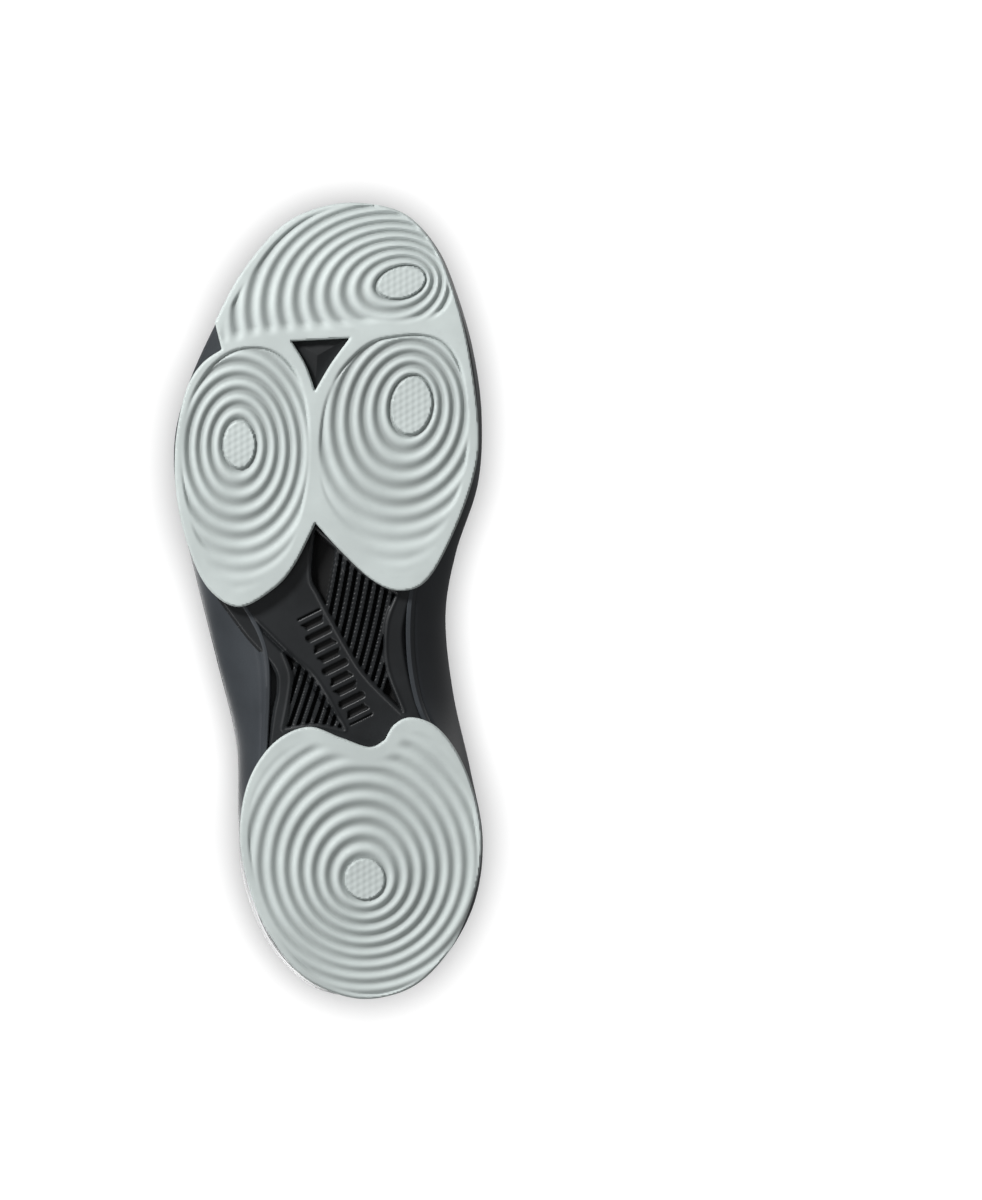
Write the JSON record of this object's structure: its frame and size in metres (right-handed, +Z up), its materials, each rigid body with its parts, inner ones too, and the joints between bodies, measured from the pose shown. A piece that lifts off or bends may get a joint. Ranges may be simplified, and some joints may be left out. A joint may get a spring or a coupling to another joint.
{
  "type": "court shoe",
  "caption": "Right-foot court shoe on a rippled pale rubber outsole in two pads, joined by a dark midfoot plate; laced mesh upper, its ball, tongue top and pull tab bend.",
  "frame": {"origin": "on the ground, under the middle of the shoe's bounding box, with the shoe standing on its sole", "axes": "+Z up, +Y along the shoe to the toe, +X to the lateral (outer) side of the right foot"},
  "size_m": [0.1152, 0.2994, 0.122],
  "materials": {
    "outsole_rubber": "matt pale grey-green moulded rubber with rippled tread",
    "midsole_foam": "satin dark grey moulded foam",
    "midfoot_plate": "satin near-black moulded plate",
    "moulded_support": "satin charcoal moulded plastic",
    "stiffener_board": "raw pressed board",
    "sockliner_cover": "dark knitted cover on foam",
    "upper_mesh": "near-black spacer mesh",
    "lining_textile": "black brushed textile",
    "padding": "soft grey foam padding",
    "overlay_film": "charcoal film with a fine grain",
    "tongue_textile": "padded near-black mesh",
    "lace_cord": "pale grey-green braided lace",
    "aglet_plastic": "smoked clear tip",
    "eyelet_ring": "dark enamelled ring",
    "webbing": "woven charcoal webbing"
  },
  "bodies": {
    "rearfoot": {"midsole_rear": "midsole_foam", "outsole_ball": "outsole_rubber", "outsole_heel": "outsole_rubber", "shank_plate": "midfoot_plate", "lasting_board_rear": "stiffener_board", "quarter_lateral": "upper_mesh", "quarter_medial": "upper_mesh", "lining_quarters": "lining_textile", "heel_counter": "stiffener_board", "collar_padding": "padding", "side_wing_lateral": "moulded_support", "side_wing_medial": "moulded_support", "heel_clip": "moulded_support", "eyestay_lateral": "overlay_film", "eyestay_medial": "overlay_film", "eyelet_lateral_1": "eyelet_ring", "eyelet_medial_1": "eyelet_ring", "eyelet_lateral_2": "eyelet_ring", "eyelet_medial_2": "eyelet_ring", "eyelet_lateral_3": "eyelet_ring", "eyelet_medial_3": "eyelet_ring", "eyelet_lateral_4": "eyelet_ring", "eyelet_medial_4": "eyelet_ring", "eyelet_lateral_5": "eyelet_ring", "eyelet_medial_5": "eyelet_ring", "eyelet_lateral_6": "eyelet_ring", "eyelet_medial_6": "eyelet_ring", "lace": "lace_cord", "aglet_lateral": "aglet_plastic", "aglet_medial": "aglet_plastic", "tongue": "tongue_textile"},
    "forefoot": {"outsole_toe": "outsole_rubber", "midsole_front": "midsole_foam", "lasting_board_front": "stiffener_board", "sockliner_front": "sockliner_cover", "vamp": "upper_mesh", "lining_toe": "lining_textile", "toe_puff": "stiffener_board", "toe_guard": "overlay_film"},
    "sockliner": {"sockliner_rear": "sockliner_cover"},
    "tongue_top": {"tongue_top": "tongue_textile"},
    "heel_tab": {"heel_tab": "webbing"}
  },
  "joints": [
    {"name": "forefoot_flex", "type": "hinge", "parent": "rearfoot", "child": "forefoot", "pos_m": [0, 0.074, 0.009], "axis": [1, 0, 0], "range_deg": [0, 20], "stiffness_Nm_per_rad": 8},
    {"name": "sockliner_lift", "type": "hinge", "parent": "rearfoot", "child": "sockliner", "pos_m": [0, 0.067, 0.0192], "axis": [-1, 0, 0], "range_deg": [0, 4.5]},
    {"name": "tongue_fold", "type": "hinge", "parent": "rearfoot", "child": "tongue_top", "pos_m": [0, -0.0354, 0.1043], "axis": [-1, 0, 0], "range_deg": [0, 45], "stiffness_Nm_per_rad": 0.15},
    {"name": "heel_tab_fold", "type": "hinge", "parent": "rearfoot", "child": "heel_tab", "pos_m": [-0.0121, -0.1425, 0.0885], "axis": [1, 0, 0], "range_deg": [0, 60], "stiffness_Nm_per_rad": 0.05}
  ]
}
